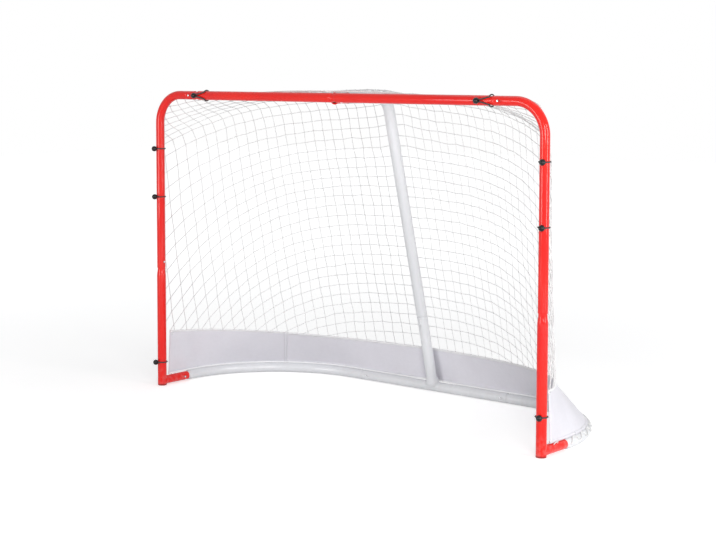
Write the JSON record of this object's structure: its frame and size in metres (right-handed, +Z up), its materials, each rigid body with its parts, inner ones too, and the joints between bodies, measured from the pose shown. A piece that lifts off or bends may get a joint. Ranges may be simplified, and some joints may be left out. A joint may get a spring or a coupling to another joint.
{
  "type": "street hockey goal",
  "caption": "Knock-down street hockey goal: red tube mouth, white floor tube and rear prop, square-mesh net, cloth skirt, ball ties and snap buttons.",
  "frame": {"origin": "middle of the footprint, on the floor", "axes": "+X to the right seen from the mouth, +Y from the mouth to the back of the goal, +Z up"},
  "size_m": [1.917, 0.7336, 1.2639],
  "materials": {
    "red_paint": "gloss powder coat, orange red",
    "white_paint": "gloss powder coat, cool white",
    "cap_plastic": "dark red moulded plastic",
    "tie_ball": "black moulded ball with a soft shine",
    "tie_cord": "black braided elastic cord",
    "net_twine": "white knotted twine",
    "skirt_cloth": "woven cloth, pale violet grey, hemmed",
    "lacing_cord": "white braided cord",
    "hook_wire": "coated wire",
    "button_steel": "plated spring steel"
  },
  "bodies": {
    "frame": {"corner_tube_left": "red_paint", "corner_tube_right": "red_paint", "crossbar_left": "red_paint", "crossbar_right": "red_paint", "lower_post_left": "red_paint", "lower_post_right": "red_paint", "floor_stub_left": "red_paint", "floor_stub_right": "red_paint", "support_spigot": "red_paint", "support_arm": "white_paint", "support_prop": "white_paint", "base_side_left": "white_paint", "base_centre": "white_paint", "base_side_right": "white_paint", "foot_cap_left": "cap_plastic", "foot_cap_right": "cap_plastic", "tie_ball_left_upper": "tie_ball", "tie_ball_left_middle": "tie_ball", "tie_ball_left_lower": "tie_ball", "tie_ball_right_upper": "tie_ball", "tie_ball_right_middle": "tie_ball", "tie_ball_right_lower": "tie_ball", "tie_ball_bar_left": "tie_ball", "tie_ball_bar_right": "tie_ball", "tie_loop_left_upper": "tie_cord", "tie_loop_left_middle": "tie_cord", "tie_loop_left_lower": "tie_cord", "tie_loop_right_upper": "tie_cord", "tie_loop_right_middle": "tie_cord", "tie_loop_right_lower": "tie_cord", "tie_loop_bar_left": "tie_cord", "tie_loop_bar_right": "tie_cord", "net_top": "net_twine", "net_back": "net_twine", "net_side_left": "net_twine", "net_side_right": "net_twine", "skirt_back": "skirt_cloth", "skirt_side_left": "skirt_cloth", "skirt_side_right": "skirt_cloth", "lacing_left": "lacing_cord", "lacing_right": "lacing_cord", "lace_hook_left": "hook_wire", "lace_hook_right": "hook_wire"},
    "clip_bar_left": {"snap_clip_bar_left": "button_steel"},
    "clip_bar_right": {"snap_clip_bar_right": "button_steel"},
    "clip_bar_middle": {"snap_clip_bar_middle": "button_steel"},
    "clip_post_left": {"snap_clip_post_left": "button_steel"},
    "clip_post_right": {"snap_clip_post_right": "button_steel"},
    "clip_stub_left": {"snap_clip_stub_left": "button_steel"},
    "clip_stub_right": {"snap_clip_stub_right": "button_steel"},
    "clip_base_left": {"snap_clip_base_left": "button_steel"},
    "clip_base_right": {"snap_clip_base_right": "button_steel"},
    "clip_support": {"snap_clip_support": "button_steel"}
  },
  "joints": [
    {"name": "press_bar_left", "type": "slide", "parent": "frame", "child": "clip_bar_left", "axis": [0, 1, 0], "range_m": [0, 0.0044], "stiffness_N_per_m": 2500, "springref_m": -0.001},
    {"name": "press_bar_right", "type": "slide", "parent": "frame", "child": "clip_bar_right", "axis": [0, 1, 0], "range_m": [0, 0.0044], "stiffness_N_per_m": 2500, "springref_m": -0.001},
    {"name": "press_bar_middle", "type": "slide", "parent": "frame", "child": "clip_bar_middle", "axis": [0, 0, 1], "range_m": [0, 0.0044], "stiffness_N_per_m": 2500, "springref_m": -0.001},
    {"name": "press_post_left", "type": "slide", "parent": "frame", "child": "clip_post_left", "axis": [-1, 0, 0], "range_m": [0, 0.0044], "stiffness_N_per_m": 2500, "springref_m": -0.001},
    {"name": "press_post_right", "type": "slide", "parent": "frame", "child": "clip_post_right", "axis": [1, 0, 0], "range_m": [0, 0.0044], "stiffness_N_per_m": 2500, "springref_m": -0.001},
    {"name": "press_stub_left", "type": "slide", "parent": "frame", "child": "clip_stub_left", "axis": [-1, 0, 0], "range_m": [0, 0.0044], "stiffness_N_per_m": 2500, "springref_m": -0.001},
    {"name": "press_stub_right", "type": "slide", "parent": "frame", "child": "clip_stub_right", "axis": [1, 0, 0], "range_m": [0, 0.0044], "stiffness_N_per_m": 2500, "springref_m": -0.001},
    {"name": "press_base_left", "type": "slide", "parent": "frame", "child": "clip_base_left", "axis": [0, 1, 0], "range_m": [0, 0.0044], "stiffness_N_per_m": 2500, "springref_m": -0.001},
    {"name": "press_base_right", "type": "slide", "parent": "frame", "child": "clip_base_right", "axis": [0, 1, 0], "range_m": [0, 0.0044], "stiffness_N_per_m": 2500, "springref_m": -0.001},
    {"name": "press_support", "type": "slide", "parent": "frame", "child": "clip_support", "axis": [0, 0.9656, 0.26], "range_m": [0, 0.0044], "stiffness_N_per_m": 2500, "springref_m": -0.001}
  ]
}
